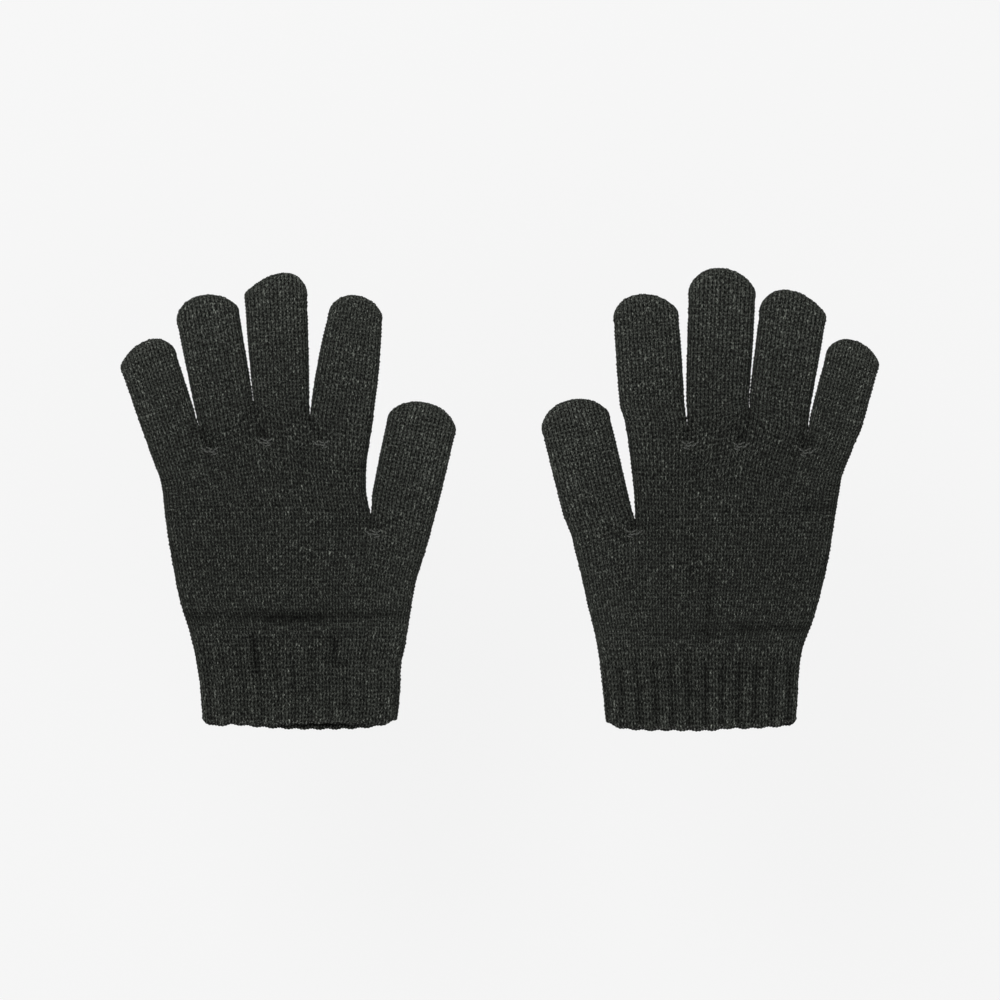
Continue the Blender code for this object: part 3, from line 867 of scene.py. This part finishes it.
@dataclass
class Glove:
    """One glove: its knitted sections, their edge roll, elastic and closing stitches.

    Sizes are in
    millimetres: edge is the sideways reach of a section's rounded edges, hand_half half the hand's thickness,
    crown the bulge of its back, swell the height of the slow swells on it, ground_gap the room under it and
    fork_half half the height of a fork's seam. digit_edge, digit_crown and digit_swell are a digit's own.
    settle is how far a section takes to leave the ring that it starts on, and the reaches are how far a bend
    would spread; bend_reach also sets how far before a digit's middle joint its two pieces meet. The painted
    shade of a fork's dimple lies dimple_ahead beyond its closing stitch. The hem swings by scallop at each
    rib and rides up over mouth_width. The elastic leaves elastic_margins free at the hem and the wrist. A
    course is one row's height in its section. Fronts and sides are counted in wales: those over one layer of
    a finger or the thumb, and those at either edge. palm is the darkest place, in X and Y.
    """

    shape: GloveShape
    frame: dict
    finishes: dict[str, bpy.types.Material]
    edge: float = 2.8
    hand_half: float = 4.6
    crown: float = 1.0
    swell: float = 0.55
    ground_gap: float = 0.4
    fork_half: float = 1.9
    digit_edge: float = 2.5
    digit_crown: float = 0.6
    digit_swell: float = 0.35
    dimple_ahead: float = 3.4
    settle: float = 11.0
    bend_reach: float = 4.5
    wrist_reach: float = 8.0
    knuckle_reach: float = 9.0
    course_hand: float = 1.76
    course_lower: float = 1.78
    course_finger: float = 1.62
    course_cuff: float = 1.85
    side_wales: int = 2
    finger_front: int = 15
    thumb_front: int = 16
    cuff_wales: int = 125
    wall: float = 1.5
    roll: float = 1.0
    roll_sides: int = 14
    scallop: float = 0.28
    mouth_width: float = 26.0
    elastics: int = 5
    elastic_radius: float = 0.45
    elastic_rings: int = 240
    elastic_margins: tuple[float, float] = (6.0, 10.0)
    strand_radius: float = 0.36
    strand_sides: int = 8
    palm: tuple[float, float] = (-97.0, -15.0)
    palm_tone: float = 0.86
    outward_gain: float = 0.42

    def __post_init__(self) -> None:
        """Works out the joints' places, the digits' centre lines and the wale counts."""
        self.side = self.shape.side
        self.joints = {joint["name"]: joint for joint in self.frame["joints"]}
        self.wrist_y = self.joint_place("wrist")[1]
        self.axes = {digit.name: self.axis(digit) for digit in (*self.shape.fingers, self.shape.thumb)}
        self.palm_front = len(self.shape.fingers) * self.finger_front
        self.hand_wales = 2 * (self.palm_front + 2 * self.side_wales)
        self.lower_wales = self.hand_wales + 2 * self.thumb_front
        ahead = np.array([0.0, self.dimple_ahead])
        self.dimple_shade_spots = [self.fork_place(f"fork_stitch_{name}") + ahead for name in self.shape.fork_names]

    # -- reading the frame

    def name(self, part: str) -> str:
        """A node's, body's or joint's name on this glove."""
        return f"{self.side.value}_{part}"

    def joint_place(self, part: str) -> np.ndarray:
        """A joint's place in left-hand millimetres."""
        place = np.array(self.joints[self.name(part)]["pos_m"], float) / MM
        place[0] *= self.side.sign
        return place

    def node_box(self, part: str) -> np.ndarray:
        """A CAD node's two corners in left-hand millimetres, in rising order."""
        low, high = (np.array(corner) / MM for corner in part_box(self.name(part)))
        if self.side is Side.RIGHT:
            low[0], high[0] = -high[0], -low[0]
        return np.array([low, high])

    def fork_place(self, part: str) -> np.ndarray:
        """The middle of a fork's CAD stitch in left-hand X and Y."""
        return self.node_box(part).mean(axis=0)[:2]

    def axis(self, digit: DigitShape) -> Axis:
        """A digit's centre line, from its two joints and the end of its CAD tip."""
        root = self.joint_place(f"{digit.name}_knuckle")[:2]
        bend = self.joint_place(f"{digit.name}_bend")[:2]
        distance = hypot(*(bend - root))
        along = (bend - root) / distance
        top = self.node_box(f"{digit.name}_tip")[1][1]
        rise = digit.widths[2] / 2 * abs(along[0]) * 0.55
        return Axis(root, along, distance, (top - root[1] - rise) / along[1] + digit.reach)

    # -- sections

    def courses(self, length: float, size: float) -> np.ndarray:
        """Row shares from 0 to 1 for as many whole courses as fit a length best, as a column vector."""
        count = max(2, round(length / size))
        return (np.arange(count * FINE + 1) / (count * FINE))[:, None]

    def half_height(self, y: np.ndarray) -> np.ndarray:
        """Half the hand's thickness: pinched just above the wrist line, and less towards the fingers.

        It is hand_half, less 0.5 in a bell 3.4 mm wide whose middle is 6.2 mm above the wrist line, and less
        0.5 more past a smooth slope from y = 5 to 45.

        Args:
            y: places along Y.

        Returns:
            The half thickness at each of them.
        """
        waist = np.exp(-(((y - self.wrist_y - 6.2) / 3.4) ** 2))
        return self.hand_half - 0.5 * waist - 0.5 * smooth((y - 5.0) / 40.0)

    def valleys(self, x: np.ndarray, y: np.ndarray) -> np.ndarray:
        """How deep the creases lie at each place."""
        return sum(crease.valley(x, y) for crease in self.shape.creases)

    def tone_and_shade(self, points: np.ndarray) -> np.ndarray:
        """The yarn's lightness: darkest in the palm and paler outwards along the digits, with painted shade
        that darkens it in the creases.

        Away from the palm it rises smoothly by outward_gain over 35 to 130 mm, where sideways steps count 1.5
        times as long towards the thumb and 1.15 times the other way. Painted shade takes 0.55 off it for each
        millimetre of a crease's depth, and up to 0.4 in the dimple between a fork and its closing stitches,
        as a bell 2.0 mm wide and 4.0 mm long.

        Args:
            points: places on the glove, (row, column, xyz).

        Returns:
            The factor on the yarn's colour at each place.
        """
        x, y, z = points[..., 0], points[..., 1], points[..., 2]
        aside, ahead = x - self.palm[0], y - self.palm[1]
        distance = np.hypot(np.where(aside > 0, 1.5, 1.15) * aside, ahead)
        on_top = smooth((z - self.hand_half) / 2.0)
        # Painted shade: the creases and the dimples below the forks darken the upper layer.
        dark = np.clip(0.55 * self.valleys(x, y), 0, 0.7) * on_top
        for place in self.dimple_shade_spots:
            bell = np.exp(-(((x - place[0]) / 2.0) ** 2) - ((y - place[1]) / 4.0) ** 2)
            dark = np.maximum(dark, 0.4 * bell * on_top)
        return (self.palm_tone + self.outward_gain * smooth((distance - 35.0) / 95.0)) * (1 - dark)

    def body_ring(
        self, share: np.ndarray, y: np.ndarray, left: np.ndarray, right: np.ndarray, inset: float = 0.0
    ) -> np.ndarray:
        """The lying hand's cross-section at y: a flattened ring with a slow crown on its back.

        Args:
            share: place round the ring of each column, from 0 to 1.
            y: place of each grid point, (row, column).
            left: its left edge there.
            right: its right edge there.
            inset: how far inside the outer surface it lies.

        Returns:
            The points, (row, column, xyz).
        """
        half_width = (right - left) / 2 - 0.3 - inset
        full_height = self.half_height(y)
        half_height = full_height - inset
        x, z = flat_ring(share, half_width, half_height, self.edge)
        above = np.clip(z / half_height, 0, 1)
        z = z + above * self.crown * (1 - (x / half_width) ** 2)
        x = x + (left + right) / 2
        z = full_height + self.ground_gap + z + above * (self.swell * rumple(x, y) - self.valleys(x, y))
        return np.stack([x, y + 0 * x, z], axis=-1)

    def wrist_ring(self, share: np.ndarray, y: np.ndarray, inset: float = 0.0) -> np.ndarray:
        """The cross-section at y between the glove's outer edge and its thumb edge, as body_ring gives it.

        Args:
            share: place round the ring of each column, from 0 to 1.
            y: place of each grid point, (row, column).
            inset: how far inside the outer surface it lies.

        Returns:
            The points, (row, column, xyz).
        """
        left, right = through(self.shape.outer_edge, y), through(self.shape.thumb_edge, y)
        return self.body_ring(share, y, left, right, inset)

    def pinch(self, points: np.ndarray, forks: list[tuple[float, float]]) -> None:
        """Draws the two layers together below each fork, most at the section's last course.

        The offset from mid height shrinks to fork_half at the fork, as a bell two wales wide that widens and
        fades out over some 9 mm below it.

        Args:
            points: the section's points, changed in place.
            forks: each fork's wale on the front and on the back.
        """
        columns = points.shape[1]
        wale = np.arange(columns)[None, :] / FINE
        below = np.clip(points[-1:, :, 1] - points[:, :, 1], 0, None)
        middle = self.half_height(points[..., 1]) + self.ground_gap
        offset = points[..., 2] - middle
        for place in (wale_number for fork in forks for wale_number in fork):
            bell = np.exp(-(((wale - place) / (2.0 + 0.16 * below)) ** 2) - (below / 9.0) ** 1.3)
            offset = offset - bell * (np.abs(offset) - self.fork_half) * np.sign(offset)
        points[..., 2] = middle + offset

    def crotch(self, fork: tuple[float, float], middle: float, upward: bool) -> np.ndarray:
        """The short seam through a fork between the two layers, over all side wales, as a sagging line.

        Args:
            fork: its place in X and Y.
            middle: the height half way between the layers.
            upward: whether it runs from the lower layer to the upper one.

        Returns:
            Points from one layer to the other, both ends included.
        """
        t = np.linspace(-1, 1, 2 * self.side_wales * FINE + 1)
        t = t if upward else -t
        y = fork[1] - 0.8 * (1 - t**2)
        return np.stack([np.full_like(t, fork[0]), y, middle + self.fork_half * t], axis=-1)

    def lower_hand(self) -> np.ndarray:
        """The section from the wrist to the thumb fork, whose last course slopes down along the thumb's root.

        Returns:
            Its points, (row, column, xyz).
        """
        s, side = self.shape, self.side_wales
        columns = self.lower_wales * FINE
        fork_wale, half = side + self.palm_front, self.lower_wales / 2
        wale = np.arange(columns) / FINE
        front = np.minimum(wale, self.lower_wales - wale)
        past_fork = np.clip((front - fork_wale) / (half - side - fork_wale), 0, 1)
        last_y = s.thumb_fork[1] + (s.thumb_root[1] - s.thumb_fork[1]) * past_fork
        shares = self.courses(s.thumb_fork[1] - self.wrist_y, self.course_lower)
        y = self.wrist_y + (last_y[None, :] - self.wrist_y) * shares
        ring = np.arange(columns)[None, :] / columns
        points = self.wrist_ring(ring, y)
        shift = s.thumb_fork[0] - points[-1, int(fork_wale * FINE), 0]
        points[..., 0] += np.interp(front, (0, fork_wale, half), (0, shift, 0))[None, :] * shares**2
        self.pinch(points, [(fork_wale, self.lower_wales - fork_wale)])
        return points

    def upper_hand(self, low: np.ndarray) -> np.ndarray:
        """The section from the thumb fork to the finger forks.

        Args:
            low: the lower hand's points, whose last course this section takes up.

        Returns:
            Its points.
        """
        s, side = self.shape, self.side_wales
        a = (side + self.palm_front) * FINE
        b = self.lower_wales * FINE - a
        seam = self.crotch(s.thumb_fork, (low[-1, a, 2] + low[-1, b, 2]) / 2, upward=False)
        first = np.concatenate([low[-1, :a], seam, low[-1, b + 1 :]])
        ends = [s.little_root, *s.forks, s.index_root]
        at = [0, *(side + self.finger_front * k for k in (1, 2, 3)), self.hand_wales / 2]
        columns = self.hand_wales * FINE
        wale = np.arange(columns) / FINE
        front = np.minimum(wale, self.hand_wales - wale)
        base_y = s.thumb_fork[1]
        last_y = np.interp(front, at, [y for _, y in ends])
        shares = self.courses(float(np.mean([y for _, y in ends])) - base_y, self.course_hand)
        y = base_y + (last_y[None, :] - base_y) * shares
        ring = np.arange(columns)[None, :] / columns
        points = self.body_ring(ring, y, through(s.outer_edge, y), through(s.index_edge, y))
        shifts = [x - points[-1, int(f * FINE), 0] for f, (x, _) in zip(at[1:-1], s.forks)]
        points[..., 0] += np.interp(front, at, [0, *shifts, 0])[None, :] * shares**2
        self.pinch(points, [(f, self.hand_wales - f) for f in at[1:-1]])
        fade = 1 - smooth((y - base_y) / self.settle)
        return points + fade[..., None] * (first - points[0])[None, :, :]

    def digit(self, digit: DigitShape, first: np.ndarray) -> np.ndarray:
        """A finger or thumb, from its first course to its closed end.

        Along the straight part the section is a flattened ring across the digit's axis, shifted near the
        root so that it starts exactly on the hand's last course. In the cap each wale runs on over a
        quarter ellipse to the closing seam, whose outline seen from above is an arc.

        Args:
            digit: its sizes.
            first: the ring that it takes up, (column, xyz).

        Returns:
            Its points, with the last course folded flat on the seam.
        """
        axis = self.axes[digit.name]
        columns = digit.wales * FINE
        start = float((first[:, :2].mean(axis=0) - axis.root) @ axis.along)
        cap_start = axis.length - digit.cap
        run = self.courses(cap_start - start, self.course_finger)
        cap = self.courses(digit.cap * 1.18, self.course_finger)[1:]
        s = np.concatenate([start + (cap_start - start) * run, np.full_like(cap, cap_start)])
        angle = np.concatenate([0 * run, cap]) * pi / 2
        t = (s - start) / (cap_start - start)
        root, half_way, tip = digit.widths
        width = root * (1 - t) * (1 - 2 * t) + half_way * 4 * t * (1 - t) + tip * t * (2 * t - 1)
        half_width = width / 2 - 0.2 + 0.25 * np.exp(-(((s - cap_start) / 2.4) ** 2))
        share = np.arange(columns)[None, :] / columns
        x, z = flat_ring(share, half_width, np.full_like(half_width, digit.half_height), self.digit_edge)
        forward = s + self.cap_arc(x / half_width, digit) * np.sin(angle)
        above = np.clip(z / digit.half_height, 0, 1)
        z = (z + above * self.digit_crown * (1 - (x / half_width) ** 2)) * np.cos(angle) ** 0.75
        aside = x + digit.sway
        flat = axis.root + forward[..., None] * axis.along + aside[..., None] * axis.across
        swell = above * np.cos(angle) * self.digit_swell * rumple(flat[..., 0], flat[..., 1])
        z = z + digit.half_height + self.ground_gap + swell
        points = np.concatenate([flat, z[..., None]], axis=-1)
        fade = 1 - smooth((s - start) / self.settle)
        return points + fade[..., None] * (first - points[0])[None, :, :]

    @staticmethod
    def cap_arc(across: np.ndarray, digit: DigitShape) -> np.ndarray:
        """The closing seam's reach beyond the cap's start: an arc over the width, a little up at its ends.

        The arc is cap · (1 − |q|^2.2)^0.68 with q the place across, drawn towards the skewed crest.

        Args:
            across: place across the digit, −1 to 1.
            digit: its sizes.

        Returns:
            The seam's reach in millimetres.
        """
        q = np.clip(across - digit.skew * (1 - across**2), -1, 1)
        low = 0.8
        return low + (digit.cap - low) * (1 - np.abs(q) ** 2.2) ** 0.68

    # -- the cuff

    def cuff_shares(self) -> np.ndarray:
        """The place round the cuff of each grid column, from 0 to 1, as a row."""
        columns = self.cuff_wales * FINE
        return np.arange(columns)[None, :] / columns

    def hem_line(self, share: np.ndarray) -> np.ndarray:
        """Where the hem roll's centre lies along Y.

        It follows the hem's outline, scalloped once a rib, and the upper layer rides up at the mouth, as
        a bell of mouth_width.

        Args:
            share: places round the cuff, from 0 to 1.

        Returns:
            Y at each of them.
        """
        s = self.shape
        left, right = s.hem[0][0], s.hem[-1][0]
        half_width = np.full_like(share, (right - left) / 2)
        x, _ = flat_ring(share, half_width, np.full_like(share, self.hand_half), self.edge)
        x = x + (left + right) / 2
        at, lift = s.mouth
        ride = lift * np.exp(-(((x - at) / self.mouth_width) ** 2)) * (share < 0.5)
        scallop = self.scallop * np.cos(2 * pi * share * self.cuff_wales / RIB_WALES)
        return through(s.hem, x) + self.roll + 0.25 + scallop + ride

    def cuff_wall(self, inset: float) -> np.ndarray:
        """One surface of the ribbed tube, from the hem roll's centre to the wrist.

        Args:
            inset: how far inside the outer surface it lies.

        Returns:
            Its points.
        """
        share = self.cuff_shares()
        lower = self.hem_line(share)
        shares = self.courses(self.wrist_y - self.shape.hem[0][1], self.course_cuff)
        return self.wrist_ring(share, lower + (self.wrist_y - lower) * shares, inset)

    def hem_roll(self) -> Tube:
        """The overcast roll on the cuff's edge: a ring whose thread winds round it once a wale.

        With w the wale, its radius at the angle φ is roll · (1 + 0.16 cos(2πw + φ)).

        Returns:
            The roll.
        """
        share = self.cuff_shares()
        path = self.wrist_ring(share, self.hem_line(share), self.wall * 0.7)[0]
        along = unit(np.roll(path, -1, axis=0) - np.roll(path, 1, axis=0))
        out = unit(np.cross(along, np.broadcast_to([0.0, -1.0, 0.0], path.shape)))
        turn = 2 * pi * np.arange(self.roll_sides)[None, :] / self.roll_sides
        wind = np.cos(2 * pi * share.T * self.cuff_wales + turn)
        return rope(path, out, np.cross(along, out), self.roll * (1 + 0.16 * wind), True, FINE)

    def elastic(self, k: int) -> Tube:
        """One elastic thread inside the cuff.

        Args:
            k: its number, from 0 at the hem up to the wrist.

        Returns:
            The thread.
        """
        share = np.arange(self.elastic_rings)[None, :] / self.elastic_rings
        at_hem, at_wrist = self.elastic_margins
        low, high = self.shape.hem[0][1] + at_hem, self.wrist_y - at_wrist
        y = low + (high - low) * k / (self.elastics - 1) + 0 * share
        path = self.wrist_ring(share, y, self.wall + 0.2)[0]
        along = unit(np.roll(path, -1, axis=0) - np.roll(path, 1, axis=0))
        up = np.broadcast_to([0.0, 1.0, 0.0], path.shape)
        radii = np.full((self.elastic_rings, self.strand_sides), self.elastic_radius)
        return rope(path, up, np.cross(along, up), radii, True, 1.0)

    # -- closing stitches

    def strand(self, surface: np.ndarray, start: np.ndarray, end: np.ndarray) -> Tube:
        """A short strand that rises out of the fabric, crosses it and dives back in.

        With t from 0 to 1 along it, its centre lies 0.45 √(sin πt) − 0.35 above the mean height of the
        fabric's 12 nearest points, and its radius is strand_radius · (0.35 + 0.65 √(sin πt)).

        Args:
            surface: (n, 3) points of the fabric's upper layer.
            start: its one end in X and Y.
            end: its other end.

        Returns:
            The strand.
        """
        t = np.linspace(0, 1, 13)[:, None]
        flat = start + (end - start) * t
        near = np.hypot(flat[:, :1] - surface[None, :, 0], flat[:, 1:] - surface[None, :, 1])
        closest = np.argpartition(near, 12, axis=1)[:, :12]
        z = surface[closest, 2].mean(axis=1, keepdims=True) + 0.45 * np.sin(pi * t) ** 0.5 - 0.35
        path = np.concatenate([flat, z], axis=1)
        along = unit(np.gradient(path, axis=0))
        aside = unit(np.cross([0.0, 0.0, 1.0], along))
        radii = self.strand_radius * (0.35 + 0.65 * np.sin(pi * t) ** 0.5) * np.ones((1, self.strand_sides))
        return rope(path, aside, np.cross(along, aside), radii, False, 3.0)

    def closing(self, node: str, surface: np.ndarray) -> list[Tube]:
        """The strands that close one fork: five, fanned round the place of its CAD stitch.

        Each row of fan holds a strand's angle in degrees, its length, and its middle's offsets in X and Y.

        Args:
            node: the CAD stitch's name.
            surface: (n, 3) points of the fabric's upper layer.

        Returns:
            Its strands.
        """
        place = self.fork_place(node)
        near = surface[np.hypot(*(surface[:, :2] - place).T) < 8.0]
        fan = (
            (-38.0, 4.4, -1.9, 0.1),
            (-6.0, 5.2, 0.6, -0.5),
            (34.0, 3.4, 2.9, 0.7),
            (-24.0, 3.6, 0.2, 0.9),
            (14.0, 3.0, 2.2, -1.6),
        )
        strands = []
        for angle, length, aside, ahead in fan:
            middle = place + np.array([aside, ahead])
            half = np.array([cos(radians(angle)), sin(radians(angle))]) * length / 2
            strands.append(self.strand(near, middle - half, middle + half))
        return strands

    # -- pieces

    def finish(self, obj: bpy.types.Object, slot: str, *nodes: str) -> None:
        """Hides the CAD nodes that a piece stands for, and reports the piece.

        Args:
            obj: the piece.
            slot: not used.
            nodes: the CAD nodes, without the hand's prefix.
        """
        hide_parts(*(self.name(node) for node in nodes))
        LOG.info("%s: %d faces", obj.name, len(obj.data.polygons))

    def bend_over(
        self, obj: bpy.types.Object, near: str, far: str
    ) -> None:
        """Bakes a piece's transform into its mesh, for a piece that lies between two bodies.

        Args:
            obj: the piece.
            near: the body on its near side, without the hand's prefix; not used.
            far: the body on its far side; not used.
        """
        self.name(near)
        self.name(far)
        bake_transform(obj)

    def ring_between(
        self, top: np.ndarray, a: int, b: int, left: np.ndarray, right: np.ndarray
    ) -> np.ndarray:
        """The ring on which a digit starts.

        Args:
            top: the hand's last course.
            a: its first column on the upper layer.
            b: its last column there.
            left: points up its left side, from the lower layer to the upper.
            right: points down its right side.

        Returns:
            The ring's points, from the middle of its left side over the top.
        """
        turn = self.side_wales * FINE
        columns = len(top)
        lower = top[columns - b : columns - a + 1]
        return np.concatenate([left[turn:-1], top[a : b + 1], right[1:-1], lower, left[1:turn]])

    def finger_ring(self, k: int, top: np.ndarray) -> np.ndarray:
        """The ring on which a finger starts: its share of the hand's last course and the seams at its forks.

        Args:
            k: the finger's number, from 0 for the little finger.
            top: the hand's last course.

        Returns:
            The ring's points.
        """
        turn = self.side_wales * FINE
        columns = len(top)
        a = turn + self.finger_front * k * FINE
        b = a + self.finger_front * FINE
        low, high = ((top[column, 2] + top[columns - column, 2]) / 2 for column in (a, b))
        left, right = np.roll(top, turn, axis=0)[: 2 * turn + 1], top[b : b + 2 * turn + 1]
        if k > 0:
            left = self.crotch(self.shape.forks[k - 1], low, True)
        if k < len(self.shape.fingers) - 1:
            right = self.crotch(self.shape.forks[k], high, False)
        return self.ring_between(top, a, b, left, right)

    def thumb_ring(self, top: np.ndarray) -> np.ndarray:
        """The ring on which the thumb starts.

        Args:
            top: the lower hand's last course.

        Returns:
            The ring's points, from that course and the seam at the thumb's fork.
        """
        turn = self.side_wales * FINE
        a = turn + self.palm_front * FINE
        b = a + self.thumb_front * FINE
        left = self.crotch(self.shape.thumb_fork, (top[a, 2] + top[len(top) - a, 2]) / 2, True)
        return self.ring_between(top, a, b, left, top[b : b + 2 * turn + 1])

    def build_digit(self, digit: DigitShape, ring: np.ndarray, first_wale: float) -> None:
        """Makes a digit's two pieces, which meet where the fabric over its middle joint starts to bend.

        Args:
            digit: its sizes.
            ring: the points that it starts on.
            first_wale: the stitch coordinate of its first wale.
        """
        points = self.digit(digit, ring)
        axis = self.axes[digit.name]
        station = (points[:, 0, :2] - axis.root) @ axis.along
        split = int(np.searchsorted(station, axis.bend - self.bend_reach) // FINE) * FINE
        base, tip = f"{digit.name}_base", f"{digit.name}_tip"
        knit = self.finishes["finger"]
        tone_and_shade = self.tone_and_shade(points)
        obj = piece(
            self.name(f"{base}_knit"), self.side, knit,
            KnitTube(points[: split + 1], (first_wale, 0.0), tone_and_shade=tone_and_shade[: split + 1]),
        )
        self.bend_over(obj, "hand", base)
        self.finish(obj, "finger_knit", base)
        obj = piece(
            self.name(f"{tip}_knit"), self.side, knit,
            KnitTube(points[split:], (first_wale, split / FINE), tone_and_shade=tone_and_shade[split:], shut_end=True),
        )
        self.bend_over(obj, base, tip)
        self.finish(obj, "finger_knit", tip)

    def build_hand(self) -> None:
        """Makes the hand's two sections, every digit on them and the stitches that close the forks."""
        low = self.lower_hand()
        high = self.upper_hand(low)
        knit = self.finishes["hand"]
        obj = piece(self.name("lower_hand_knit"), self.side, knit, KnitTube(low, tone_and_shade=self.tone_and_shade(low)))
        self.bend_at_wrist(obj)
        self.finish(obj, "hand_knit", "lower_hand")
        upper = KnitTube(high, (0.0, UPPER_COURSE), tone_and_shade=self.tone_and_shade(high))
        obj = piece(self.name("upper_hand_knit"), self.side, knit, upper)
        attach(obj, self.name("hand"))
        self.finish(obj, "hand_knit", "upper_hand")
        for k, digit in enumerate(self.shape.fingers):
            self.build_digit(digit, self.finger_ring(k, high[-1]), FINGER_WALE + FINGER_WALES * k)
        self.build_digit(self.shape.thumb, self.thumb_ring(low[-1]), THUMB_WALE)
        surface = np.concatenate([high.reshape(-1, 3), low.reshape(-1, 3)])
        surface = surface[surface[:, 2] > self.hand_half + self.ground_gap]
        for fork in self.shape.fork_names:
            self.build_closing(f"fork_stitch_{fork}", surface)

    def build_closing(self, node: str, surface: np.ndarray) -> None:
        """Makes the closing stitches of one fork.

        Args:
            node: the CAD stitch's name, without the hand's prefix.
            surface: (n, 3) points of the fabric's upper layer.
        """
        strands = self.closing(node, surface)
        obj = piece(self.name(f"{node}_yarn"), self.side, self.finishes["closing"], *strands)
        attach(obj, self.name("hand"))
        self.finish(obj, "closing_stitch", node)

    def bend_at_wrist(self, obj: bpy.types.Object) -> None:
        """Bakes a piece's transform into its mesh, for a piece that lies between the cuff and the hand."""
        wrist, reach = self.joint_place("wrist")[:2], np.array([0.0, self.wrist_reach])
        self.bend_over(obj, "cuff", "hand")

    def build_cuff(self) -> None:
        """Makes the cuff: its ribbed outer and plain inner surface, the inner one darkened as painted shade,
        the hem roll and the elastic.
        """
        outer, inner = self.cuff_wall(0.0), self.cuff_wall(self.wall)
        ribbed = self.shape.ribbing * smooth((self.wrist_y - 2.0 - outer[..., 1]) / 9.0)
        obj = piece(
            self.name("cuff_rib_knit"), self.side, self.finishes["rib"],
            KnitTube(outer, (0.0, CUFF_COURSE), tone_and_shade=self.tone_and_shade(outer), rib=ribbed),
        )
        self.bend_at_wrist(obj)
        self.finish(obj, "cuff_rib_knit", "cuff_rib")
        # The inner surface is darkened to 0.3: painted shade for the gap inside the cuff.
        lining = KnitTube(inner[:, ::-1].copy(), (0.0, INSIDE_COURSE), tone_and_shade=0.3)
        obj = piece(self.name("cuff_inside_knit"), self.side, self.finishes["rib"], lining)
        self.bend_at_wrist(obj)
        self.finish(obj, "cuff_rib_knit", "cuff_rib")
        obj = piece(self.name("cuff_hem_roll"), self.side, self.finishes["hem"], self.hem_roll())
        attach(obj, self.name("cuff"))
        self.finish(obj, "cuff_rib_knit", "cuff_hem")
        for k in range(self.elastics):
            node = f"elastic_thread_{k + 1}"
            obj = piece(self.name(f"{node}_cord"), self.side, self.finishes["elastic"], self.elastic(k))
            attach(obj, self.name("cuff"))
            self.finish(obj, "elastic", node)

    def build(self) -> None:
        """Makes every piece of the glove."""
        self.build_hand()
        self.build_cuff()


@dataclass
class Studio:
    """A pale backdrop seen from straight above under soft, even light.

    The backdrop lies well below the gloves, so that it shows all of a bent finger or cuff.
    """

    camera_height: float = 2.4
    view_width: float = 0.45
    floor_size: float = 8.0
    floor_depth: float = 0.13
    floor_glow: float = 0.85
    floor_grey: float = 0.05
    room_light: float = 0.92

    def floor(self) -> None:
        """A softly glowing white floor, as a light box is, so that the gloves throw almost no shadow."""
        half, z = self.floor_size / 2, -self.floor_depth
        mesh = bpy.data.meshes.new("backdrop")
        corners = [(-half, -half, z), (half, -half, z), (half, half, z), (-half, half, z)]
        mesh.from_pydata(corners, [], [(0, 1, 2, 3)])
        g = Graph("white_backdrop")
        g.shader.inputs["Base Color"].default_value = (self.floor_grey, self.floor_grey, self.floor_grey, 1.0)
        g.shader.inputs["Roughness"].default_value = 0.9
        g.shader.inputs["Specular IOR Level"].default_value = 0.0
        g.shader.inputs["Emission Color"].default_value = (1.0, 1.0, 1.0, 1.0)
        g.shader.inputs["Emission Strength"].default_value = self.floor_glow
        mesh.materials.append(g.material)
        floor = bpy.data.objects.new("backdrop", mesh)
        bpy.context.scene.collection.objects.link(floor)

    def lights(self) -> None:
        """Even white surroundings and two large soft boxes."""
        world = bpy.data.worlds.new("white_room")
        world.use_nodes = True
        background = world.node_tree.nodes["Background"]
        background.inputs["Color"].default_value = (1.0, 1.0, 1.0, 1.0)
        background.inputs["Strength"].default_value = self.room_light
        bpy.context.scene.world = world
        self.soft_box("key", (-0.6, 1.1, 1.2), 0.9, 22.0)
        self.soft_box("fill", (0.9, -0.3, 1.4), 1.2, 4.0)

    def soft_box(self, name: str, place: tuple[float, float, float], size: float, watts: float) -> None:
        """Adds a square area light that faces the gloves.

        Args:
            name: its name.
            place: where it hangs, in metres.
            size: its width, in metres.
            watts: its strength.
        """
        data = bpy.data.lights.new(name, "AREA")
        data.size = size
        data.energy = watts
        light = bpy.data.objects.new(name, data)
        light.location = place
        light.rotation_euler = Vector(place).to_track_quat("Z", "Y").to_euler()
        bpy.context.scene.collection.objects.link(light)

    def camera(self) -> None:
        """A long lens straight above the middle of the pair."""
        data = bpy.data.cameras.new("overhead")
        data.sensor_width = 36.0
        data.lens = data.sensor_width * self.camera_height / self.view_width
        data.clip_end = 20.0
        camera = bpy.data.objects.new("overhead", data)
        camera.location = (0.0, 0.0, self.camera_height)
        bpy.context.scene.collection.objects.link(camera)
        bpy.context.scene.camera = camera

    def build(self) -> None:
        """Sets the stage."""
        bpy.context.scene.view_settings.view_transform = "Standard"
        self.floor()
        self.lights()
        self.camera()


def main() -> None:
    """Builds the stage and both gloves round the frame."""
    logging.basicConfig(level=logging.INFO)
    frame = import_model()
    Studio().build()
    finishes = {
        "hand": HeatherYarn("heather_hand", seed=1.0).material(),
        "finger": HeatherYarn("heather_finger", seed=7.0).material(),
        "rib": HeatherYarn("heather_rib", seed=13.0).material(),
        "hem": HeatherYarn("heather_hem", (0.021, 0.022, 0.020), seed=17.0, knitted=False).material(),
        "closing": HeatherYarn(
            "closing_yarn", (0.036, 0.0375, 0.0345), contrast=4.0, seed=19.0, knitted=False
        ).material(),
        "elastic": ElasticFinish().material(),
    }
    for shape in (LEFT_SHAPE, RIGHT_SHAPE):
        Glove(shape, frame, finishes).build()


if __name__ == "__main__":
    main()
